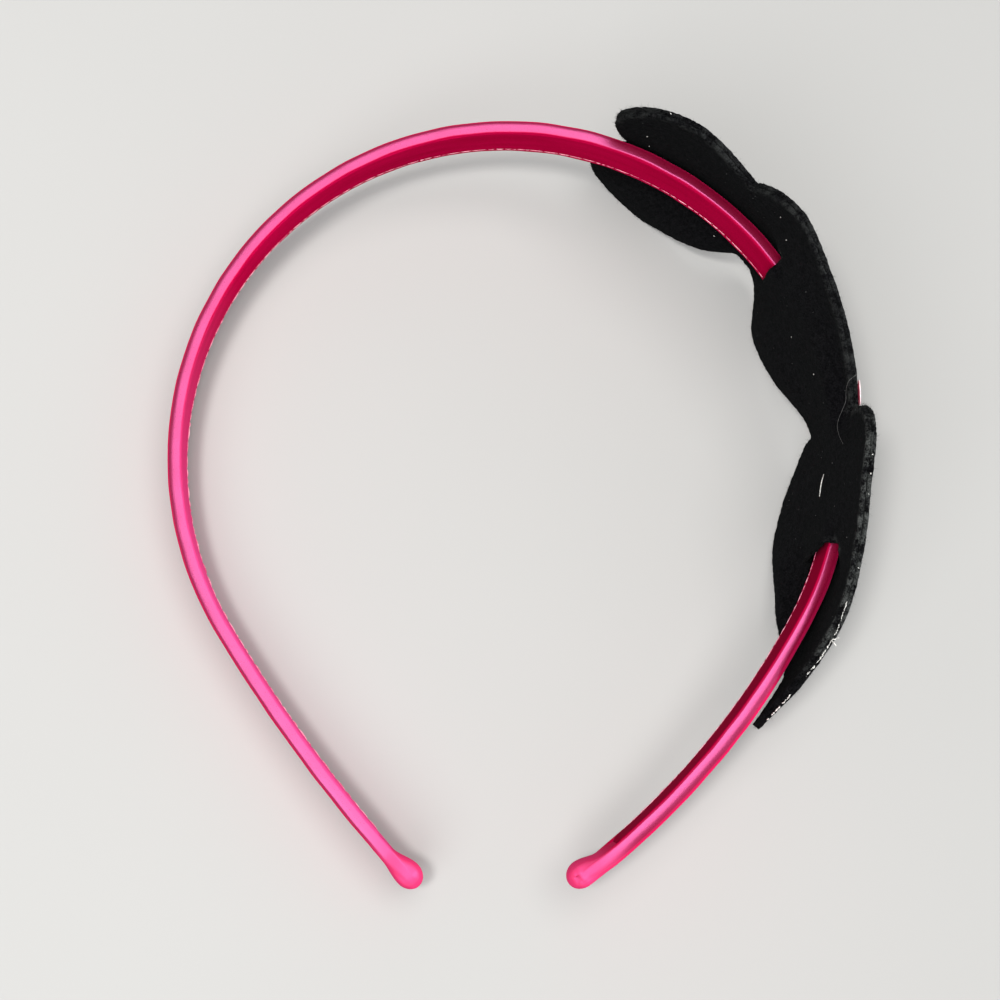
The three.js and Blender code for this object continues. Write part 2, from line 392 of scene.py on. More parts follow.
def satinFinish():
    finish, tree, bsdf = newFinish("hotPinkSatin", satin["shader"])
    uv = addNode(tree, "ShaderNodeUVMap", uv_map="wrap").outputs["UV"]
    floats = noiseOf(uv, satin["floats"])
    grains = noiseOf(uv, satin["grains"], detail=2)
    clouds = noiseOf(uv, satin["clouds"], detail=2)
    tone = sumOf(sumOf(floats, 0.4, grains, 0.25), 1, clouds, 0.35)
    colour = colourSteps(tone, [(0.34, satin["deepPink"]), (0.64, satin["brightPink"])])
    turned = addNode(tree, "ShaderNodeLayerWeight", {"Blend": 0.5}).outputs["Facing"]
    # painted sheen: the base colour turns pinker as the surface turns away from the view
    colour = mixColour(spread(turned, 0, 1, *satin["turnedSheenFrom"]), colour, satin["turnedSheenPink"])
    marks = {name: attributeOf(tree, name) for name in satin["marks"]}
    for name, pink in satin["marks"].items():
        colour = mixColour(marks[name], colour, pink)
    feed(bsdf, "Base Color", colour)
    gloss = spread(turned, 1, 0, *satin["glossFade"])
    gloss = productOf(gloss, spread(marks["inner"], 1, 0))
    gloss = productOf(gloss, spread(marks["outerFace"], 1, satin["faceGloss"]))
    feed(bsdf, "Specular IOR Level", gloss)
    rough = spread(grains, *satin["roughness"], 0.3, 0.7)
    rough = sumOf(rough, 1, marks["gatheredSheen"], satin["tipRoughness"])
    feed(bsdf, "Roughness", rough)
    bumpFrom(bsdf, sumOf(floats, 0.2, grains, 0.8), *satin["bump"])
    return finish


# Section points for each place along: from the seat's middle over the ridge, round the outer face
# and back over the lower lip
def satinSection(along):
    half, start, lip, seat = satin["width"] / 2, satin["ridgeFrom"], satin["lip"], satin["seat"]
    ridge = mix(satin["ridge"], satin["rightRidge"], ease(*satin["ridgeBlend"], along))[:, None]
    rightShare = ease(*satin["rightBlend"], along)[:, None]
    outer = mix(satin["outerFace"], satin["rightOuterFace"], rightShare)
    power = 2 / mix(satin["roll"], satin["rightRoll"], rightShare)
    share = np.linspace(0, 1, satin["seatPoints"])
    turn = np.linspace(math.pi, math.pi / 2, satin["ridgePoints"])
    roll = np.linspace(0, math.pi / 2, satin["rollPoints"])[1:]
    lipShare = np.linspace(0, 1, satin["lipPoints"])[1:]
    lowTurn, lowRoll = turn[-2::-1], roll[-2::-1]
    lowest = ribbon["lower"] - satin["lipGap"]
    upperWall, lowerWall = satin["seatWalls"]
    rolled = outer - start - ridge
    parts = [
        (seat, share * (half - ridge - upperWall)),
        (start + ridge + ridge * np.cos(turn), half - ridge + ridge * np.sin(turn)),
        (start + ridge + rolled * np.sin(roll) ** power, half * np.abs(np.cos(roll)) ** power),
        (start + lip + (outer - start - lip) * np.sin(lowRoll) ** power, -half * np.cos(lowRoll) ** power),
        (start + lip, -half),
        (start + lip + lip * np.cos(lowTurn), lip - half - lip * np.sin(lowTurn)),
        (start, mix(lip - half, lowest, lipShare)),
        (seat, (lowest + lowerWall) * share[:0:-1]),
    ]
    blocks = []
    for outward, across in parts:
        widths = [np.atleast_1d(v).shape[-1] for v in (outward, across)]
        blocks.append([np.broadcast_to(v, (len(along), max(widths))) for v in (outward, across)])
    outward, across = (np.concatenate(column, 1) for column in zip(*blocks))
    pulled = satin["pulled"]
    drawn = pulled["slope"] * ease(*pulled["from"], along) * (1 - ease(*pulled["to"], along))
    across = across - drawn[:, None] * np.maximum(outward - start - ridge, 0) * (across > 0)
    isSeat = np.zeros(outward.shape[1], bool)
    isSeat[:len(share)] = isSeat[1 - len(share):] = True
    return outward, across, isSeat


def satinRings():
    tipLength, step = satin["tipLength"], satin["step"]
    tips = tipLength * (1 - np.cos(np.linspace(0, math.pi / 2, satin["tipSteps"])))
    body = np.arange(leftEnd + tipLength + step, rightEnd - tipLength, step)
    along = np.concatenate([leftEnd + tips, body, rightEnd - tips[::-1]])
    outward, across, isSeat = satinSection(along)
    steps = np.hypot(np.diff(outward[0], append=outward[0, 0]), np.diff(across[0], append=across[0, 0]))
    turn = math.pi - 2 * math.pi * (np.cumsum(steps) - steps) / steps.sum()
    fromTip = np.minimum(along - leftEnd, rightEnd - along)[:, None]
    fill = 1 - ease(*satin["seatFill"], fromTip)
    outward = np.where(isSeat, mix(outward, satin["ridgeFrom"], fill), outward)
    inner = np.where(isSeat, 1, ease(*satin["innerOut"], outward)) * ease(*satin["innerFromTip"], fromTip)
    outerFace = ease(*satin["faceOut"], outward) * ease(*satin["faceAcross"], np.abs(across))
    swell = satin["armSwell"]
    share = ease(swell["outFrom"], satin["rightOuterFace"], outward)
    outward = outward + swell["extra"] * (ease(*swell["along"], along)[:, None] * share)

    # the ends grow into ovals, lightly gathered lengthwise and rounded off
    nearTip = 1 - ease(satin["tipRounding"], tipLength, fromTip)
    pleats = satin["gatherDepth"] * np.sin(satin["gathers"] * turn)
    gathers = 1 + pleats * nearTip * ease(*satin["gatherFade"], fromTip)
    power = 2 / satin["tipRoll"]
    ovalOut, ovalAcross = (np.sign(w) * np.abs(w) ** power for w in (np.cos(turn), np.sin(turn)))
    outward = mix(outward, satin["tipMiddle"] + satin["tipHalfThick"] * gathers * ovalOut, nearTip)
    across = mix(across, satin["tipHalfWidth"] * gathers * ovalAcross, nearTip)
    unrounded = 1 - np.minimum(fromTip / satin["tipRounding"], 1)
    rounding = np.maximum(np.sqrt(1 - unrounded ** 2), satin["tipEnd"])
    outward = satin["tipMiddle"] + (outward - satin["tipMiddle"]) * rounding
    across = across * rounding

    # puckered dimple where the cover is drawn together at the right tip, its pit also painted darker as
    # shade
    dimple = satin["dimple"]
    alongAll = np.broadcast_to(along[:, None], outward.shape)
    offAlong = alongAll - (rightEnd - dimple["fromTip"])
    offOut = outward - dimple["outward"]
    off = np.hypot(offAlong, offOut)
    pitAndPaintedShade = np.where(across > 0, np.exp(-((off / dimple["size"]) ** 2)), 0)
    folds = np.cos(dimple["folds"] * np.arctan2(offOut, offAlong)) * np.exp(-((off / dimple["reach"]) ** 2))
    pucker = np.where(across > 0, dimple["pucker"] * folds * ease(0, dimple["puckerFrom"], off), 0)
    across = across - dimple["depth"] * pitAndPaintedShade - pucker
    slack = ripple(np.stack([alongAll, outward, across], -1), *satin["slack"])
    marks = {
        "outerFace": outerFace,
        "inner": inner,
        "leftInnerPaintedLight": inner * ease(*satin["leftBlend"], alongAll),
        "gatheredSheen": np.broadcast_to(1 - ease(*satin["gatheredSheenTo"], fromTip), pitAndPaintedShade.shape),
        "pitAndPaintedShade": pitAndPaintedShade,
    }
    return hoopPoint(alongAll, outward + slack, across + slack), along, marks


def addAttribute(piece, name, values):
    layer = piece.data.attributes.new(name, "FLOAT", "POINT")
    layer.data.foreach_set("value", np.ascontiguousarray(values, np.float32).ravel())


def makeSatinBand():
    rings, along, marks = satinRings()
    points, faces, uv = skinOf(rings, along)
    piece = addPiece("satinBand", toRow(points), faces, satinFinish(), uv)
    for name, values in marks.items():
        addAttribute(piece, name, values)
    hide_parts("band")
    return settle(piece)


satinBand = makeSatinBand()
print("satin band:", len(satinBand.data.polygons), "faces")


# Lining ribbon, woven with the picks across it
lining = {
    "picks": {"Scale": 0.62, "Distortion": 0.6, "Detail": 1},
    "threads": (1.4, 7.5, 1),
    "clouds": (0.05, 0.3, 1),
    "roughness": (0.45, 0.7),
    "bump": (0.3, 0.00005),
    "dark": (0.38, 0.001, 0.034),
    "light": (0.55, 0.0018, 0.059),
    "rightPaintedShade": (0.23, 0.0007, 0.021),   # painted shade: deeper crimson towards the right arm, whose inner face turns from the light
    "rightBlend": (-5, 115),
    "shader": {
        "Specular IOR Level": 0,
        "Sheen Weight": 0.015,
        "Sheen Roughness": 0.2,
        "Sheen Tint": (1, 0.4, 0.7, 1),
    },
}


def liningFinish():
    finish, tree, bsdf = newFinish("crimsonLining", lining["shader"])
    uv = addNode(tree, "ShaderNodeUVMap", uv_map="wrap").outputs["UV"]
    picks = addNode(tree, "ShaderNodeTexWave", {"Vector": uv, **lining["picks"]}, bands_direction="X")
    threads = noiseOf(uv, lining["threads"])
    clouds = noiseOf(uv, lining["clouds"], detail=2)
    tone = sumOf(threads, 0.5, clouds, 0.5)
    colour = colourSteps(tone, [(0.34, lining["dark"]), (0.66, lining["light"])])
    along = addNode(tree, "ShaderNodeSeparateXYZ", {"Vector": uv}).outputs["X"]
    # painted shade: the lining deepens to crimson towards the right arm
    rightShare = spread(along, 0, 1, *lining["rightBlend"])
    colour = mixColour(rightShare, colour, lining["rightPaintedShade"])
    # painted light: the lining turns paler pink along the left arm, as if lit from the right
    leftShare = spread(along, 0, 1, *satin["leftBlend"])
    colour = mixColour(leftShare, colour, satin["marks"]["leftInnerPaintedLight"])
    feed(bsdf, "Base Color", colour)
    feed(bsdf, "Roughness", spread(threads, *lining["roughness"]))
    bumpFrom(bsdf, sumOf(picks.outputs["Fac"], 0.3, threads, 0.5), *lining["bump"])
    return finish


# Light threads of the selvage along the ribbon's lower edge, in mm
selvage = {
    "seed": 21,
    "length": (0.7, 3),
    "gap": (0, 0.4),
    "radius": 0.09,
    "radiusSpread": (0.6, 1.25),
    "leftBlend": (-25, -75),   # fuller round the left side
    "leftTimes": 1.8,
    "points": 7,
    "sides": 6,
    "blunt": 0.08,
    "aboveEdge": 0.06,
    "stray": 0.04,
    "wave": 0.03,
    "waveTurns": 7,
    "foot": 0.04,
    "rise": 0.07,
    "dark": (0.7, 0.08, 0.2),
    "light": (0.96, 0.42, 0.54),
    "twist": 2600,
    "wear": 240,
    "bump": (0.3, 0.00003),
    "shader": {"Roughness": 0.6, "Specular IOR Level": 0.1},
}


def selvageFinish():
    finish, tree, bsdf = newFinish("selvageThread", selvage["shader"])
    twist = evenNoise(tree, selvage["twist"], detail=2)
    worn = evenNoise(tree, selvage["wear"], detail=2)
    tone = sumOf(twist, 0.4, worn, 0.6)
    shade = colourSteps(tone, [(0.4, selvage["dark"]), (0.56, selvage["light"])])
    feed(bsdf, "Base Color", shade)
    bumpFrom(bsdf, twist, *selvage["bump"])
    return finish


def tuckAt(along):
    fromEnd = np.minimum(along - ribbonEnds[0], ribbonEnds[1] - along)
    return ribbon["tuckDepth"] * (1 - ease(0, ribbon["tuckLength"], fromEnd))


def makeLiningRibbon():
    along = np.linspace(*ribbonEnds, int((ribbonEnds[1] - ribbonEnds[0]) / ribbon["step"]))[:, None]
    radius = ribbon["thickness"] / 2
    upper = np.full_like(along, ribbon["upper"] - radius)
    lower = ribbon["lower"] + ripple(along, *ribbon["wander"])[:, None] + radius
    turn = np.linspace(0, math.pi, ribbon["roundPoints"])
    share = np.linspace(0, 1, ribbon["flatPoints"])[1:-1]
    bend, rise = radius * np.sin(turn), radius * np.cos(turn)
    outward = [radius - rise, 0 * share + 2 * radius, radius + rise, 0 * share]
    down, up = mix(upper, lower, share), mix(lower, upper, share)
    across = np.concatenate([upper + bend, down, lower - bend, up], 1)
    rings = hoopPoint(along, np.concatenate(outward)[None] + tuckAt(along), across)
    points, faces, uv = skinOf(rings, along[:, 0])
    piece = addPiece("liningRibbon", toRow(points), faces, liningFinish(), uv)
    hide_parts("inner_ribbon")
    return settle(piece)


# Short lengths of selvage thread, one after another along the ribbon's lower edge
def makeSelvage():
    dice = np.random.default_rng(selvage["seed"])
    place, dashes = ribbonEnds[0] + ribbon["tuckLength"], []
    while place < ribbonEnds[1] - ribbon["tuckLength"] - selvage["length"][1]:
        length = dice.uniform(*selvage["length"])
        dashes.append((place, length))
        place += length + dice.uniform(*selvage["gap"])
    starts, lengths = (np.array(column)[:, None] for column in zip(*dashes))
    share = np.linspace(0, 1, selvage["points"])[None]
    arch = blunted(share, selvage["blunt"])
    along = starts + share * lengths
    across = ribbon["lower"] + selvage["aboveEdge"] + dice.normal(0, selvage["stray"], (len(starts), 1))
    across = across + selvage["wave"] * np.sin(selvage["waveTurns"] * along)
    paths = hoopPoint(along, selvage["foot"] - selvage["rise"] * arch, across)
    full = mix(1, selvage["leftTimes"], ease(*selvage["leftBlend"], starts))
    radii = selvage["radius"] * full * arch * dice.uniform(*selvage["radiusSpread"], (len(starts), 1))
    points, faces = strandSkin(paths, radii, selvage["sides"])
    return settle(addPiece("ribbonSelvage", toRow(points), faces, selvageFinish()))


ribbonSelvage = makeSelvage()
liningRibbon = makeLiningRibbon()
faceCounts = len(liningRibbon.data.polygons), len(ribbonSelvage.data.polygons)
print("lining ribbon and selvage:", *faceCounts, "faces")


# Black felt slider: two layers cut to three joined hearts, the back one slit for the band
felt = {
    "hearts": [{"start": 20, "lag": -4}, {"start": 49.5, "lag": 8}, {"start": 92.8, "lag": 3.5}],
    "halfWidth": 27.5,
    "length": 57,
    "cleft": 5,
    "widest": 11,
    "lobeHandles": [(-6, 5), (-6, 27.5)],
    "taperHandles": [(20, 26), (42, 9)],
    "thickness": 0.95,
    "layerGap": 0.03,
    "pinch": {"along": (139, 149), "keep": 0.7},   # the layers cling together at the last point
    "slits": [
        {"along": 58, "skew": -0.05, "towardsPocket": 1},
        {"along": 115.9, "skew": -0.18, "towardsPocket": -1},
    ],
    "slitLength": 20,
    "slitWidth": 1,
    "slitEase": 7,
    "slitEnds": 0.5,
    "settleLength": 12,
    "heldAcross": 6.75,
    "overBand": 4.0,
    "underBand": -1.2,
    "flatArea": 0.0056,   # of the joined hearts, in square metres
    "voxel": 0.36,
    "fray": (0.06, 1.0),   # sizes and lengths of its ripples
    "lumps": (0.02, 3.2),
    "nap": (0.03, 1.3),
    "cutEdge": 0.3,       # points nearer the middle than this share of the thickness are on a cut edge
    "tufts": 3200,
    "matting": 900,
    "patches": 380,
    "patchy": (0.47, 0.6),
    "bump": (0.9, 0.0003),
    "black": (0.0013, 0.0013, 0.0016),
    "grey": (0.0085, 0.0083, 0.0095),
    "paintedSheenGrey": (0.062, 0.066, 0.064),
    "paintedSheenWidth": (0.3, 1.5),
    "paintedSheenAcross": (6, 12),
    "paintedSheenAlong": (84, 98),   # the last heart's edge gets the most painted sheen
    "firstPaintedSheen": 0.3,
    "shader": {
        "Roughness": 0.95,
        "Specular IOR Level": 0,
        "Sheen Weight": 0.012,
        "Sheen Roughness": 0.5,
        "Sheen Tint": (0.85, 0.95, 0.92, 1),
    },
}

# How the felt leans, by place along the hoop: its upper and lower edges out from the inner face,
# how far across it reaches that, and how far it springs off the band, all in mm
leanRows = np.array([
    (16, 3.6, 4.2, 20, 0),
    (32, 3.6, -0.25, 25, 0),
    (44, 3.0, 0, 19, 0),
    (54, 3.6, 5, 18, 0),
    (65, 2.6, -1.6, 24, 0),
    (76, 2.6, -3, 17, 0),
    (89, 2.6, -0.45, 10.5, 0),
    (104, 0.9, -3.6, 25, 0),
    (114, 2.6, -4.4, 21, 0),
    (126, 5.5, -1.1, 16, 0.5),
    (135, 6.8, 2.2, 14, 1.5),
    (151, 5.8, 4.4, 14, 0.6),
])
upperEdge, lowerEdge, reachAcross, springOff = range(1, 5)
layerStep = felt["thickness"] + felt["layerGap"]


def leanAt(along, column):
    places, values = leanRows[:, 0], leanRows[:, column]
    slopes = np.gradient(values, places)
    along = np.clip(along, places[0], places[-1])
    first = np.clip(np.searchsorted(places, along, side="right") - 1, 0, len(places) - 2)
    span = places[first + 1] - places[first]
    t = (along - places[first]) / span
    bends = t * (1 - t) * span * ((1 - t) * slopes[first] - t * slopes[first + 1])
    return mix(values[first], values[first + 1], t * t * (3 - 2 * t)) + bends


def freeShare(along, across):
    return ease(felt["heldAcross"], leanAt(along, reachAcross), np.abs(across))


# Share of the way from outside the band to behind it: a step at a slit, easing beyond its ends
def pocketShare(along, across):
    beyond = ease(felt["heldAcross"], felt["slitLength"] / 2 - felt["slitEnds"], np.abs(across))
    share = 1
    for slit in felt["slits"]:
        past = (along - slit["along"] - slit["skew"] * across) * slit["towardsPocket"]
        eased = ease(-felt["slitEase"], felt["slitEase"], past)
        share = share * mix(np.where(past > 0, 1, 0), eased, beyond)
    return share


def feltMiddle(along, across, isBack):
    outside = felt["overBand"] + leanAt(along, springOff)
    held = mix(outside, felt["underBand"], pocketShare(along, across) if isBack else 0)
    edge = np.where(across > 0, leanAt(along, upperEdge), leanAt(along, lowerEdge)) - layerStep / 2
    return hoopPoint(along, mix(held, edge, freeShare(along, across)), across)


def feltInward(along, across, isBack):
    near = 0.05
    alongWay = feltMiddle(along + near, across, isBack) - feltMiddle(along - near, across, isBack)
    acrossWay = feltMiddle(along, across + near, isBack) - feltMiddle(along, across - near, isBack)
    return unit(np.cross(alongWay, acrossWay))


# The front layer settles onto the band between the slits
def frontLift(along, across):
    first, second = (slit["along"] for slit in felt["slits"])
    entered = ease(first, first + felt["settleLength"], along)
    left = ease(second - felt["settleLength"], second, along)
    pinch = felt["pinch"]
    cling = mix(1, pinch["keep"], ease(*pinch["along"], along))
    return layerStep * cling * (1 - entered * (1 - left) * (1 - freeShare(along, across)))


# A place on the felt: along and across its flat cut, depth up from its middle towards the head
def feltPoint(along, across, depth, isBack):
    along, across = np.asarray(along, float), np.asarray(across, float)
    lift = 0 if isBack else frontLift(along, across)
    inset = np.asarray(depth - lift)[..., None]
    return feltMiddle(along, across, isBack) + feltInward(along, across, isBack) * inset


def bezier(a, b, c, d, steps=36):
    t = np.linspace(0, 1, steps, endpoint=False)[:, None]
    a, b, c, d = (np.array(p, float) for p in (a, b, c, d))
    return (1 - t) ** 3 * a + 3 * (1 - t) ** 2 * t * b + 3 * (1 - t) * t ** 2 * c + t ** 3 * d


def heartOutline(heart):
    cleft, widest, point = (felt["cleft"], 0), (felt["widest"], felt["halfWidth"]), (felt["length"], 0)
    lobe = bezier(cleft, *felt["lobeHandles"], widest)
    taper = bezier(widest, *felt["taperHandles"], point)
    upper = np.concatenate([lobe, taper, [point]])
    outline = np.concatenate([upper, upper[-2:0:-1] * [1, -1]])
    shear = heart["lag"] * outline[:, 1] / (2 * felt["halfWidth"])
    return outline + np.stack([heart["start"] - shear, 0 * shear], -1)


# How far across the joined hearts reach at one place along them, and at many
def rimReach(along):
    reach = 0
    for heart in felt["hearts"]:
        x, y = heartOutline(heart).T
        nextX, nextY = np.roll(x, -1), np.roll(y, -1)
        crosses = (x - along) * (nextX - along) <= 0
        heights = y + (nextY - y) * (along - x) / np.where(nextX == x, 1, nextX - x)
        reach = max(reach, heights[crosses].max(initial=0))
    return reach


def upperRim(along):
    return np.array([rimReach(place) for place in along])


def prism(name, outline, low, high):
    count = len(outline)
    ends = [np.column_stack([outline, np.full(count, height)]) for height in (low, high)]
    ring = np.arange(count)
    faces = np.stack([ring, (ring + 1) % count, (ring + 1) % count + count, ring + count], -1).tolist()
    faces += [ring[::-1].tolist(), (ring + count).tolist()]
    return addObject(name, newMesh(name, np.concatenate(ends), faces))


# Flat hearts in mm, joined, slit, and remeshed into an even skin with soft edges
def flatHearts(withSlits):
    half = felt["thickness"] / 2
    hearts = [prism("flatHeart", heartOutline(heart), -half, half) for heart in felt["hearts"]]
    cutters = []
    for slit in felt["slits"] if withSlits else []:
        middle, wide, long = slit["along"], felt["slitWidth"] / 2, felt["slitLength"] / 2
        corners = [(-wide, -long), (wide, -long), (wide, long), (-wide, long)]
        outline = [(middle + x + slit["skew"] * y, y) for x, y in corners]
        cutters.append(prism("slitCutter", np.array(outline), -2 * half, 2 * half))
    body = hearts[0]
    for tool, operation in [(h, "UNION") for h in hearts[1:]] + [(c, "DIFFERENCE") for c in cutters]:
        cut = body.modifiers.new(operation, "BOOLEAN")
        cut.object, cut.operation, cut.solver = tool, operation, "EXACT"
    even = body.modifiers.new("evenSkin", "REMESH")
    even.mode, even.voxel_size = "VOXEL", felt["voxel"]
    soft = body.modifiers.new("softEdges", "SMOOTH")
    soft.factor, soft.iterations = 0.5, 1
    mesh = bpy.data.meshes.new_from_object(body.evaluated_get(bpy.context.evaluated_depsgraph_get()))
    faces = [tuple(face.vertices) for face in mesh.polygons]
    for scrap in hearts + cutters:
        bpy.data.objects.remove(scrap)
    return vertexValues(mesh, "co"), faces


# Matted black wool, with a painted sheen of grey in patches along its upper edges, where the cut edges
# catch the light
def feltFinish():
    finish, tree, bsdf = newFinish("blackFelt", felt["shader"])
    tufts = evenNoise(tree, felt["tufts"], detail=4, roughness=0.7)
    matted = evenNoise(tree, felt["matting"], roughness=0.6)
    patches = evenNoise(tree, felt["patches"], detail=4, roughness=0.7)
    tone = sumOf(tufts, 0.7, matted, 0.3)
    wool = colourSteps(tone, [(0.42, felt["black"]), (0.66, felt["grey"])])
    patchy = spread(sumOf(patches, 0.6, tufts, 0.4), 0, 1, *felt["patchy"])
    paintedSheen = productOf(attributeOf(tree, "rim"), patchy)
    feed(bsdf, "Base Color", mixColour(paintedSheen, wool, felt["paintedSheenGrey"]))
    bumpFrom(bsdf, sumOf(tufts, 0.8, matted, 0.4), *felt["bump"])
    return finish


blackFelt = feltFinish()


def makeFelt(name, isBack, seed):
    flat, faces = flatHearts(isBack)
    cut = flat[:, :2] + np.stack([ripple(flat, *felt["fray"], seed + i) for i in range(2)], -1)
    nap = ripple(flat[:, :2], *felt["lumps"], seed + 2) + ripple(flat, *felt["nap"], seed + 3)
    depth = flat[:, 2] + nap * np.sign(flat[:, 2])
    points = toRow(feltPoint(cut[:, 0], cut[:, 1], depth, isBack))
    points[:, 2] = np.maximum(points[:, 2], 0)
    piece = addPiece(name, points, faces, blackFelt)
    addAttribute(piece, "rim", rimShare(flat))
    return piece, flat


def onCutEdge(flat):
    return np.abs(flat[:, 2]) < felt["cutEdge"] * felt["thickness"]


# How near each point is to the upper cut edges, weighted for the painted sheen there
def rimShare(flat):
    isRim = onCutEdge(flat)
    edges = KDTree(int(isRim.sum()))
    for index, (along, across) in enumerate(flat[isRim, :2]):
        edges.insert((along, across, 0), index)
    edges.balance()
    away = np.array([edges.find((along, across, 0))[2] for along, across in flat[:, :2]])
    paintedSheen = mix(felt["firstPaintedSheen"], 1, ease(*felt["paintedSheenAlong"], flat[:, 0]))
    return paintedSheen * (1 - ease(*felt["paintedSheenWidth"], away)) * ease(*felt["paintedSheenAcross"], flat[:, 1])


def declareFelt(piece, node):
    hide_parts(node)
    settle(piece)


# Loose wool ends that stand off the felt, thickest along its cut edges
fuzz = {
    "fibres": 6200,
    "rimShare": 0.5,
    "length": (0.25, 0.85),
    "radius": 0.016,
    "radiusSpread": (0.6, 1.3),
    "taper": 0.6,
    "points": 4,
    "upright": (0.3, 1),
    "stray": 0.6,
    "curl": 0.35,
    "curlSpread": (0.2, 1.6),
    "scatter": 0.1,
    "sunk": 0.03,
    "mottle": 900,
    "dark": (0.002, 0.002, 0.0024),
    "light": (0.022, 0.025, 0.024),
    "shader": {"Roughness": 0.85, "Specular IOR Level": 0.15},
}


def fuzzFinish():
    finish, tree, bsdf = newFinish("woolFuzz", fuzz["shader"])
    mottle = evenNoise(tree, fuzz["mottle"], detail=2)
    shade = colourSteps(mottle, [(0.45, fuzz["dark"]), (0.7, fuzz["light"])])
    feed(bsdf, "Base Color", shade)
    return finish


woolFuzz = fuzzFinish()


def makeFuzz(name, piece, flat, outerSide, seed):
    dice = np.random.default_rng(seed)
    points, normals = vertexValues(piece.data, "co") / mm, vertexValues(piece.data, "normal")
    isRim = onCutEdge(flat)
    onFace = np.flatnonzero(~isRim & (np.sign(flat[:, 2]) == outerSide))
    onRim = np.flatnonzero(isRim)
    rimCount = int(fuzz["fibres"] * fuzz["rimShare"])
    roots = np.concatenate([dice.choice(onRim, rimCount), dice.choice(onFace, fuzz["fibres"] - rimCount)])
    count = len(roots)
    upright = dice.uniform(*fuzz["upright"], (count, 1))
    way = unit(normals[roots] * upright + dice.normal(0, fuzz["stray"], (count, 3)))
    curl = np.cross(way, dice.normal(size=(count, 3))) * fuzz["curl"]
    curl = curl * dice.uniform(*fuzz["curlSpread"], (count, 1))
    length = dice.uniform(*fuzz["length"], (count, 1, 1))
    share = np.linspace(0, 1, fuzz["points"])[None, :, None]
    start = points[roots] + dice.normal(0, fuzz["scatter"], (count, 3)) - normals[roots] * fuzz["sunk"]
    paths = start[:, None] + length * (share * way[:, None] + share ** 2 * curl[:, None])
    paths[..., 2] = np.maximum(paths[..., 2], fuzz["radius"] * 2)   # none goes into the floor
    thinning = 1 - fuzz["taper"] * share[..., 0]
    radii = fuzz["radius"] * thinning * dice.uniform(*fuzz["radiusSpread"], (count, 1))
    skin, faces = strandSkin(paths, radii)
    return settle(addPiece(name, skin * mm, faces, woolFuzz))


feltBack, backFlat = makeFelt("feltBack", isBack=True, seed=31)
feltFront, frontFlat = makeFelt("feltFront", isBack=False, seed=47)
backFuzz = makeFuzz("feltBackFuzz", feltBack, backFlat, outerSide=1, seed=61)
frontFuzz = makeFuzz("feltFrontFuzz", feltFront, frontFlat, outerSide=-1, seed=67)
declareFelt(feltBack, "felt_back")
declareFelt(feltFront, "felt_front")
print("felt layers:", len(feltBack.data.polygons), len(feltFront.data.polygons), "faces")


# Bits caught on the felt, mottled from a darker to a lighter colour; places along and across it are in mm
bits = {
    "mottle": 1800,
    "steps": (0.35, 0.6),
    "bump": (0.4, 0.00004),
    "white": ((0.5, 0.49, 0.46), (0.85, 0.84, 0.8)),
}
faceTop = felt["thickness"] / 2


def bitsFinish(name, colours, roughness=0.8):
    finish, tree, bsdf = newFinish(name, {"Roughness": roughness})
    mottle = evenNoise(tree, bits["mottle"])
    shade = colourSteps(mottle, list(zip(bits["steps"], colours)))
    feed(bsdf, "Base Color", shade)
    bumpFrom(bsdf, mottle, *bits["bump"])
    return finish


def addStrands(name, paths, radii, finish, sides=5):
    points, faces = strandSkin(np.asarray(paths), np.asarray(radii), sides)
    return settle(addPiece(name, toRow(points), faces, finish))


whiteLint = bitsFinish("whiteLint", bits["white"])


# Short bent crumbs of lint: dim ones strewn over the felt, white ones at set places on its face and rim
specks = {
    "seed": 83,
    "count": 55,
    "along": (22, 140),
    "across": (-22, 22),
    "withinRim": 0.85,
    "bandHalf": 8,         # none where the band lies on the felt, outside the pocket
    "pocket": (60, 113),
    "dimColours": ((0.03, 0.03, 0.03), (0.16, 0.16, 0.155)),
    "dim": {"length": (0.1, 0.26), "radius": (0.025, 0.06)},
    "white": {"length": (0.25, 0.6), "radius": (0.06, 0.11)},
    "face": [(25.6, 5.7), (24.6, 11.1), (52.8, 20.7), (56.4, 15.5), (44.6, -13.5), (71, -2.9), (80.2, 3.1)],
    "rim": [26.8, 99.5, 103, 106.6, 118.6],
    "rimInset": 0.1,
    "points": 5,
    "bend": 0.4,
    "blunt": 0.02,
}


def addCrumbs(name, places, size, finish, dice):
    length, radius = (dice.uniform(*size[key], len(places))[:, None] for key in ("length", "radius"))
    way = unit(dice.normal(size=places.shape))
    bend = np.cross(way, dice.normal(size=places.shape)) * specks["bend"]
    share = np.linspace(-0.5, 0.5, specks["points"])[None, :, None]
    paths = places[:, None] + length[..., None] * (share * way[:, None] + share ** 2 * bend[:, None])
    radii = radius * np.sqrt(1 + specks["blunt"] - 4 * share[..., 0] ** 2)
    addStrands(name, paths, radii, finish)


def makeSpecks():
    dice = np.random.default_rng(specks["seed"])
    tries = 6 * specks["count"]
    along, across = dice.uniform(*specks["along"], tries), dice.uniform(*specks["across"], tries)
    inside = np.abs(across) < specks["withinRim"] * upperRim(along)
    first, last = specks["pocket"]
    offBand = (np.abs(across) > specks["bandHalf"]) | ((along > first) & (along < last))
    keep = np.flatnonzero(inside & offBand)[:specks["count"]]
    strewn = feltPoint(along[keep], across[keep], faceTop, True)
    dimLint = bitsFinish("dimLint", specks["dimColours"])
    addCrumbs("dimLint", strewn, specks["dim"], dimLint, dice)
    onFace = feltPoint(*np.array(specks["face"]).T, faceTop, True)
    rim = np.array(specks["rim"])
    onRim = feltPoint(rim, upperRim(rim) - specks["rimInset"], -layerStep, True)
    addCrumbs("whiteSpecks", np.concatenate([onFace, onRim, onRim]), specks["white"], whiteLint, dice)


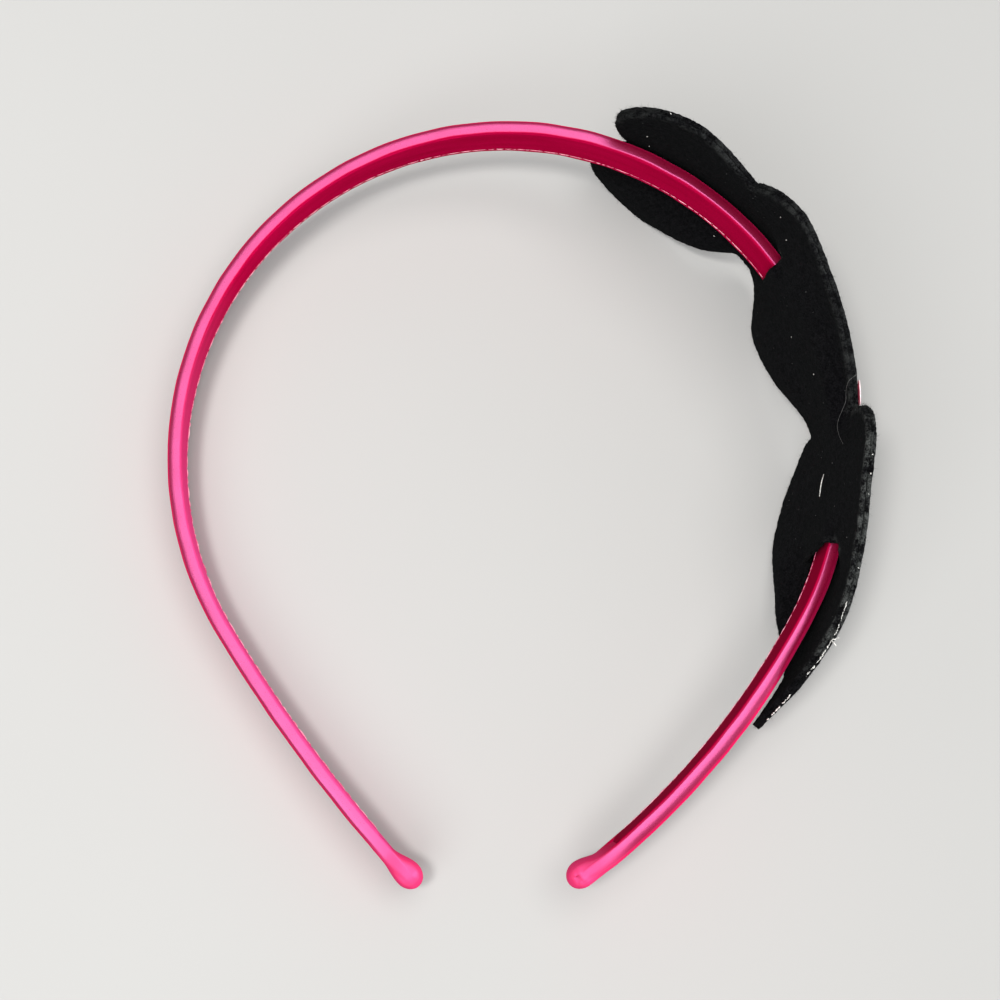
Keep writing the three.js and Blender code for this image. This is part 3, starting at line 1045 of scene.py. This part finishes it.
# A grey hair over the notch, with its height above the felt, and a white fibre
hairs = {
    "points": 40,
    "grey": [
        (83.4, 14.0, -1.4), (84.2, 13.7, 0.3), (85, 12.4, 0.65), (86.2, 10.8, 0.7),
        (88.6, 9.2, 0.8), (91.6, 8.9, 0.8), (94, 10.1, 0.7), (95.8, 11.9, 0.55),
    ],
    "greyRadius": 0.045,
    "greyTip": 0.3,
    "greyRoughness": 0.4,
    "greyColours": ((0.03, 0.03, 0.03), (0.09, 0.09, 0.088)),
    "white": [(99.9, 0.9), (101.1, -0.8), (102.5, -1.6), (104, -2)],
    "whiteLift": 0.1,
    "whiteRadius": 0.1,
    "whiteBlunt": 0.15,
}


def makeHairs():
    steps = hairs["points"]
    path = feltPoint(*throughPoints(hairs["grey"], steps).T, True)
    radii = hairs["greyRadius"] * np.sqrt(np.linspace(1, hairs["greyTip"], steps))
    greyHair = bitsFinish("greyHair", hairs["greyColours"], hairs["greyRoughness"])
    addStrands("looseHair", path[None], radii[None], greyHair)
    path = feltPoint(*throughPoints(hairs["white"], steps).T, faceTop + hairs["whiteLift"], True)
    radii = hairs["whiteRadius"] * blunted(np.linspace(0, 1, steps), hairs["whiteBlunt"])
    addStrands("whiteFibre", path[None], radii[None], whiteLint)


# White backing torn into shreds along the last heart's upper edge
shreds = {
    "seed": 97,
    "points": 9,
    "jitter": 0.06,
    "blunt": 0.2,
    "radiusSpread": (0.55, 1.3),
    "depth": (0.45, 0.9),    # in layers, sinking over this stretch
    "sinking": (124, 130),
    "backing": {"along": (124, 137), "length": (0.5, 2.0), "out": 0.08, "radius": (0.05, 0.12)},
    "backingStep": (0.85, 1.3),
    "clumps": {"along": (132.5, 137.2), "length": (0.3, 0.9), "out": 0.15, "radius": (0.08, 0.15)},
    "clumpCount": 10,
    "dashes": {"along": (141.6, 147.4), "length": (0.3, 1.1), "out": 0.1, "radius": (0.08, 0.15)},
    "dashCount": 6,
    "dashScatter": 0.25,
    "whiskers": {"along": 130.6, "leans": (-0.8, 0.7), "reach": 0.9, "depth": (0.9, 1.8), "radius": 0.1},
}


def makeShreds():
    dice = np.random.default_rng(shreds["seed"])
    paths, radii = [], []
    share = np.linspace(0, 1, shreds["points"])

    def shred(along, across, depth, radius):
        jitter = dice.normal(0, shreds["jitter"], (len(share), 3))
        paths.append(feltPoint(along, across, -layerStep * depth, True) + jitter)
        uneven = dice.uniform(*shreds["radiusSpread"], len(share))
        radii.append(radius * blunted(share, shreds["blunt"]) * uneven)

    def tear(start, row):
        length = dice.uniform(*row["length"])
        out, radius = dice.normal(0, row["out"]), dice.uniform(*row["radius"])
        along = start + length * share
        depth = mix(*shreds["depth"], ease(*shreds["sinking"], along))
        shred(along, upperRim(along) + out, depth, radius)
        return length

    place, backingEnd = shreds["backing"]["along"]
    while place < backingEnd:
        place += tear(place, shreds["backing"]) * dice.uniform(*shreds["backingStep"])
    for start in dice.uniform(*shreds["clumps"]["along"], shreds["clumpCount"]):
        tear(start, shreds["clumps"])
    starts = np.linspace(*shreds["dashes"]["along"], shreds["dashCount"])
    for start in starts + dice.normal(0, shreds["dashScatter"], len(starts)):
        tear(start, shreds["dashes"])
    whiskers = shreds["whiskers"]
    for lean in whiskers["leans"]:
        across = rimReach(whiskers["along"]) + whiskers["reach"] * share
        depth = mix(*whiskers["depth"], share)
        shred(whiskers["along"] + lean * share, across, depth, whiskers["radius"])
    addStrands("backingShreds", paths, radii, whiteLint)


# A glossy crimson thread at the front layer's rim in the notch, with a pale strand beside it as a painted
# highlight
notchThread = {
    "along": (84.4, 88.6),
    "points": 16,
    "sides": 8,
    "blunt": 0.06,
    "strands": {
        "crimsonThread": {"out": 0.05, "depth": -0.5, "radius": 0.2, "roughness": 0.3},
        "paintedHighlightStrand": {"out": 0.14, "depth": -0.72, "radius": 0.11, "roughness": 0.45},
    },
    "colours": {
        "crimsonThread": ((0.08, 0.0004, 0.008), (0.16, 0.001, 0.018)),
        "paintedHighlightStrand": ((0.8, 0.45, 0.5), (0.95, 0.75, 0.76)),
    },
}


def makeNotchThread():
    along = np.linspace(*notchThread["along"], notchThread["points"])
    taper = blunted(np.linspace(0, 1, len(along)), notchThread["blunt"])
    for name, strand in notchThread["strands"].items():
        path = feltPoint(along, upperRim(along) + strand["out"], strand["depth"], False)
        radii = strand["radius"] * taper
        finish = bitsFinish(name, notchThread["colours"][name], strand["roughness"])
        addStrands(name, path[None], radii[None], finish, notchThread["sides"])


makeSpecks()
makeHairs()
makeShreds()
makeNotchThread()
print("lint, hairs, shreds and notch thread done")


# Floor, lights and camera
stage = {
    "size": 6,
    "colour": (0.445, 0.443, 0.435),
    "clouds": 9,
    "cloudTone": 0.985,
    "shader": {"Roughness": 0.8, "Specular IOR Level": 0.2},
}


def makeFloor():
    finish, tree, bsdf = newFinish("paleFloor", stage["shader"])
    clouds = evenNoise(tree, stage["clouds"], detail=2)
    pale = stage["colour"]
    dull = [stage["cloudTone"] * c for c in pale]
    feed(bsdf, "Base Color", colourSteps(clouds, [(0.3, dull), (0.7, pale)]))
    half = stage["size"] / 2
    corners = [(-half, -half, 0), (half, -half, 0), (half, half, 0), (-half, half, 0)]
    floor = addPiece("floor", corners, [(0, 1, 2, 3)], finish)
    return floor


lamps = {
    "topLamp": {"place": (-0.06, 0.06, 1.35), "size": 1.1, "power": 11.5, "colour": (1, 0.99, 0.97)},
    "keyLamp": {"place": (-0.53, -0.17, 1.3), "size": 0.2, "power": 11, "colour": (1, 0.985, 0.96)},
    "windowLamp": {"place": (1.25, 0, 0.5), "size": 0.9, "power": 24, "colour": (0.97, 0.98, 1)},
    "fillLamp": {"place": (-0.55, -0.62, 1.0), "size": 0.9, "power": 8.5, "colour": (0.98, 0.99, 1)},
}
studio = {
    "aim": (0, 0, 0.02),
    "unmirrored": "keyLamp",       # this small lamp shades but leaves no hot spots
    "sparesFloor": "windowLamp",
    "skyColour": (0.97, 0.985, 1, 1),
    "skyStrength": 0.34,
}


def makeLights(floor):
    target = Vector(studio["aim"])
    for name, lamp in lamps.items():
        light = bpy.data.lights.new(name, "AREA")
        light.shape, light.size = "DISK", lamp["size"]
        light.energy, light.color = lamp["power"], lamp["colour"]
        holder = addObject(name, light)
        holder.location = lamp["place"]
        holder.visible_glossy = name != studio["unmirrored"]
        holder.rotation_mode = "QUATERNION"
        holder.rotation_quaternion = (target - holder.location).to_track_quat("-Z", "Y")
        if name == studio["sparesFloor"]:
            spared = bpy.data.collections.new("spared")
            spared.objects.link(floor)
            spared.collection_objects[0].light_linking.link_state = "EXCLUDE"
            holder.light_linking.receiver_collection = spared
    world = bpy.data.worlds.new("softRoom")
    world.use_nodes = True
    sky = world.node_tree.nodes["Background"]
    feed(sky, "Color", studio["skyColour"])
    feed(sky, "Strength", studio["skyStrength"])
    bpy.context.scene.world = world
    bpy.context.scene.view_settings.view_transform = "Standard"


# Camera in the hoop's own frame, in mm, so that it keeps the photo's angle to the headband
shot = {"from": (-21.8, -53.78, 387.4), "lookAt": (-2.1, -8.08, 0), "lens": 74.01, "sensor": 36}


def makeCamera():
    place, aim = np.array(shot["from"]), np.array(shot["lookAt"])
    back = unit(place - aim)
    right = unit(np.cross((0, 1, 0), back))
    axes = leanTurn @ np.stack([right, np.cross(back, right), back], -1)
    camera = bpy.data.cameras.new("camera")
    camera.lens, camera.sensor_width = shot["lens"], shot["sensor"]
    camera.clip_start, camera.clip_end = 0.01, 20
    holder = addObject("camera", camera)
    holder.matrix_world = Matrix.Translation(toRow(place)) @ Matrix(axes.tolist()).to_4x4()
    bpy.context.scene.camera = holder


makeLights(makeFloor())
makeCamera()
print("stage ready")
